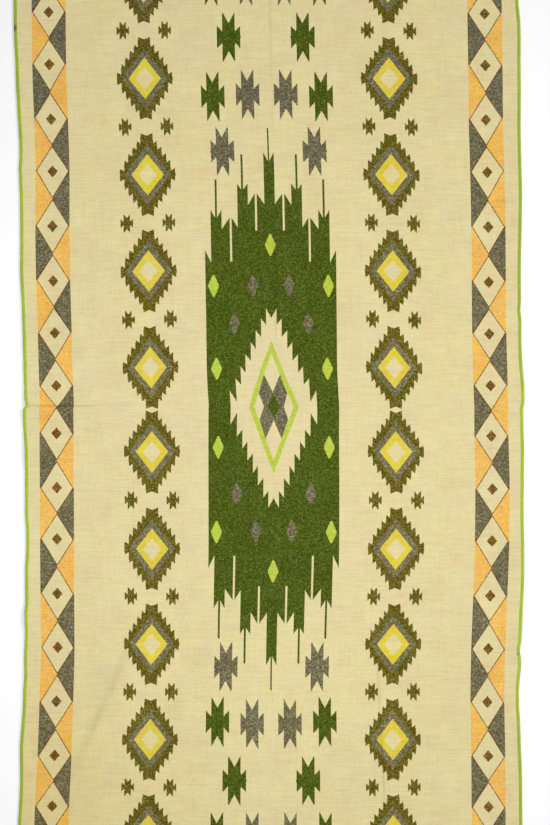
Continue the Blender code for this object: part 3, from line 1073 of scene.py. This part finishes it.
# The photograph's frame, in metres on the blanket, and the lens and sensor in millimetres
VIEW_MIDDLE = Vector((0.0156, -0.0078, 0.0035))
VIEW_HEIGHT = 2.0625
LENS = 85.0
SENSOR = 36.0

Box = namedtuple("Box", "name place size power")
SOFTBOXES = (
    Box("softbox_overhead", (-0.05, -0.27, 2.45), 1.32, 32.9),
    Box("softbox_right", (9.0, 3.0, 6.5), 3.0, 560.0),
)


class BLANKET_OT_stage(Operator):
    """Sets a pale floor, a softbox overhead with a weaker one at the side, and the camera"""

    bl_idname = "blanket.set_stage"
    bl_label = "Set stage"

    def execute(self, context):
        scene = context.scene
        bm = bmesh.new()
        bmesh.ops.create_grid(bm, x_segments=1, y_segments=1, size=20.0)
        bmesh.ops.translate(bm, verts=bm.verts, vec=(0.0, 0.0, -0.0003))
        mesh = bpy.data.meshes.new("floor")
        bm.to_mesh(mesh)
        bm.free()
        floor = bpy.data.objects.new("floor", mesh)
        scene.collection.objects.link(floor)
        # White matt paint, which is even and shows no gloss
        painted = blank("white_painted_floor")
        tree = painted.node_tree
        shader = add(tree, SHADER, {"Base Color": (*linear("FBFBFB"), 1.0), "Roughness": 0.9})
        add(tree, "ShaderNodeOutputMaterial", {0: shader})
        mesh.materials.append(painted)

        for box in SOFTBOXES:
            data = bpy.data.lights.new(box.name, "AREA")
            data.shape = "SQUARE"
            data.size = box.size
            data.energy = box.power
            light = bpy.data.objects.new(box.name, data)
            light.location = box.place
            light.rotation_euler = (-Vector(box.place)).to_track_quat("-Z", "Y").to_euler()
            light.visible_camera = False
            scene.collection.objects.link(light)

        world = bpy.data.worlds.new("studio")
        world.use_nodes = True
        world.node_tree.nodes["Background"].inputs["Color"].default_value = (1, 1, 1, 1)
        world.node_tree.nodes["Background"].inputs["Strength"].default_value = 0.40
        scene.world = world
        scene.view_settings.view_transform = "Standard"

        data = bpy.data.cameras.new("camera")
        data.lens = LENS
        data.sensor_width = SENSOR
        camera = bpy.data.objects.new("camera", data)
        camera.location = (*VIEW_MIDDLE.xy, VIEW_MIDDLE.z + VIEW_HEIGHT * LENS / SENSOR)
        scene.collection.objects.link(camera)
        scene.camera = camera
        return {"FINISHED"}


class BLANKET_OT_cloth(Operator):
    """Weaves the cloth on its folds, with the pattern on its face and its reverse below"""

    bl_idname = "blanket.weave_cloth"
    bl_label = "Weave cloth"

    def execute(self, context):
        sizes, dyes = context.scene.blanket_sizes, context.scene.blanket_colours
        face = woven_alpaca("woven_alpaca", sizes, dyes)
        back = woven_alpaca("woven_alpaca_reverse", sizes, dyes, reverse=True)
        piece = finish_piece("cloth", woven_sheet(sizes), (face, back))
        return {"FINISHED"}


class BLANKET_OT_edging(Operator):
    bl_idname = "blanket.sew_edging"
    bl_label = "Sew edging"

    def execute(self, context):
        sizes, dyes = context.scene.blanket_sizes, context.scene.blanket_colours
        yarn = spun_yarn(dyes)
        for side in SIDES:
            strip = finish_piece(side.name, overlocked_strip(sizes, side), (yarn,))
        return {"FINISHED"}


class BLANKET_PT_panel(Panel):
    """Sizes, colours and steps of the woven blanket"""

    bl_idname = "BLANKET_PT_panel"
    bl_label = "Woven blanket"
    bl_space_type = "VIEW_3D"
    bl_region_type = "UI"
    bl_category = "Blanket"

    def draw(self, context):
        for group in (context.scene.blanket_sizes, context.scene.blanket_colours):
            box = self.layout.box()
            for name in group.__annotations__:
                box.prop(group, name)
        for step in STEPS:
            self.layout.operator(step.bl_idname)


STEPS = (BLANKET_OT_stage, BLANKET_OT_cloth, BLANKET_OT_edging)
CLASSES = (BlanketSizes, BlanketColours, *STEPS, BLANKET_PT_panel)


def register():
    for one in CLASSES:
        bpy.utils.register_class(one)
    bpy.types.Scene.blanket_sizes = PointerProperty(type=BlanketSizes)
    bpy.types.Scene.blanket_colours = PointerProperty(type=BlanketColours)


def unregister():
    del bpy.types.Scene.blanket_colours
    del bpy.types.Scene.blanket_sizes
    for one in reversed(CLASSES):
        bpy.utils.unregister_class(one)


def main():
    """Runs each step in order."""
    register()
    bpy.ops.blanket.set_stage()
    bpy.ops.blanket.weave_cloth()
    bpy.ops.blanket.sew_edging()


if __name__ == "__main__":
    main()
